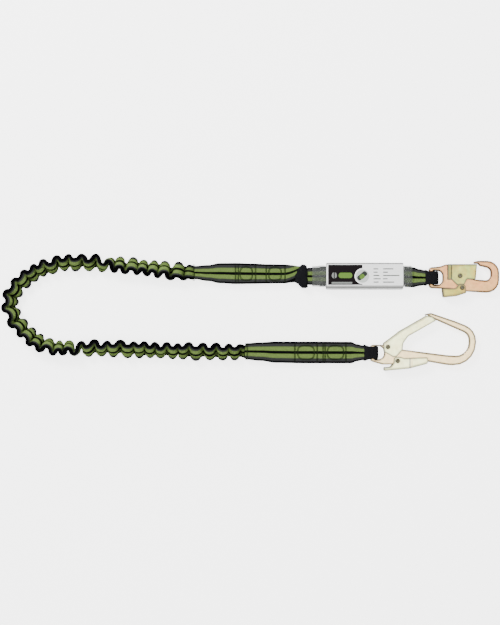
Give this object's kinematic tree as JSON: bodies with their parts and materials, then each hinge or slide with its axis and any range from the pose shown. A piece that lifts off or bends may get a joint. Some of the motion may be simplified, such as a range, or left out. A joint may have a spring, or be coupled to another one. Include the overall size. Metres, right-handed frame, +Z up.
{
  "type": "shock absorbing lanyard",
  "caption": "Elastic webbing fall-arrest lanyard with an energy absorber pack, a double-action snap hook and a scaffold hook.",
  "frame": {"origin": "on the floor plane, under the middle of the box of everything but the elastic webbing", "axes": "+X along the lanyard towards both hooks, +Y from the scaffold hook's strand to the absorber's strand, +Z up from the floor it lies on"},
  "size_m": [0.9968, 0.2347, 0.0342],
  "materials": {
    "green_webbing": "woven polyester, green and black stripes",
    "black_sleeve": "tight black weave",
    "elastic_rubber": "matt",
    "clear_film": "smoky clear shrink film",
    "wrap_film": "glossy pale film",
    "label_card": "printed card under film",
    "copper_zinc": "copper-tinted zinc plating on a forging",
    "yellow_zinc": "yellow-green passivated zinc on pressed sheet",
    "cream_zinc": "pale yellow passivated zinc on a forging",
    "cream_zinc_sheet": "pale yellow passivated zinc on pressed sheet",
    "rivet_steel": "plated rivet",
    "spring_steel": "bright wire"
  },
  "bodies": {
    "lanyard": {"elastic_webbing": "green_webbing", "elastic_core": "elastic_rubber", "upper_end_webbing": "green_webbing", "lower_end_webbing": "green_webbing", "lower_wear_sleeve": "black_sleeve", "link_wear_sleeve": "black_sleeve", "absorber_link_loop": "green_webbing", "tear_webbing": "green_webbing", "absorber_sleeve": "clear_film", "label_wrap": "wrap_film", "label_card": "label_card", "absorber_hook_loop": "green_webbing", "hook_wear_sleeve": "black_sleeve"},
    "snap_hook": {"snap_hook_body": "copper_zinc", "snap_gate_rivet": "rivet_steel", "snap_gate_spring": "spring_steel", "snap_lock_rivet": "rivet_steel", "snap_lock_spring": "spring_steel"},
    "snap_gate": {"snap_gate": "yellow_zinc"},
    "snap_lock": {"snap_lock_lever": "yellow_zinc"},
    "scaffold_hook": {"scaffold_hook_body": "cream_zinc", "scaffold_gate_rivet": "rivet_steel", "scaffold_gate_spring": "spring_steel", "scaffold_lock_rivet": "rivet_steel", "scaffold_lock_spring": "spring_steel"},
    "scaffold_gate": {"scaffold_gate": "cream_zinc_sheet"},
    "scaffold_lock": {"scaffold_lock_lever": "cream_zinc_sheet"}
  },
  "joints": [
    {"name": "snap_hook_swing", "type": "hinge", "parent": "lanyard", "child": "snap_hook", "pos_m": [0.1761, 0.0759, 0.0118], "axis": [0, -1, 0], "range_deg": [0, 100]},
    {"name": "snap_gate_hinge", "type": "hinge", "parent": "snap_hook", "child": "snap_gate", "pos_m": [0.2335, 0.0799, 0.0118], "axis": [0, 0, -1], "range_deg": [0, 38], "stiffness_Nm_per_rad": 0.25, "springref_deg": -20.05},
    {"name": "snap_lock_press", "type": "hinge", "parent": "snap_hook", "child": "snap_lock", "pos_m": [0.2375, 0.0561, 0.0118], "axis": [0, 0, -1], "range_deg": [0, 12], "stiffness_Nm_per_rad": 0.3, "springref_deg": -11.46},
    {"name": "scaffold_hook_swing", "type": "hinge", "parent": "lanyard", "child": "scaffold_hook", "pos_m": [0.0589, -0.0741, 0.0118], "axis": [0, -1, 0], "range_deg": [0, 100]},
    {"name": "scaffold_gate_hinge", "type": "hinge", "parent": "scaffold_hook", "child": "scaffold_gate", "pos_m": [0.0893, -0.0623, 0.0118], "axis": [0, 0, -1], "range_deg": [0, 34], "stiffness_Nm_per_rad": 0.4, "springref_deg": -20.05},
    {"name": "scaffold_lock_press", "type": "hinge", "parent": "scaffold_hook", "child": "scaffold_lock", "pos_m": [0.1085, -0.0901, 0.0118], "axis": [0, 0, -1], "range_deg": [0, 8], "stiffness_Nm_per_rad": 0.5, "springref_deg": -8.59}
  ]
}
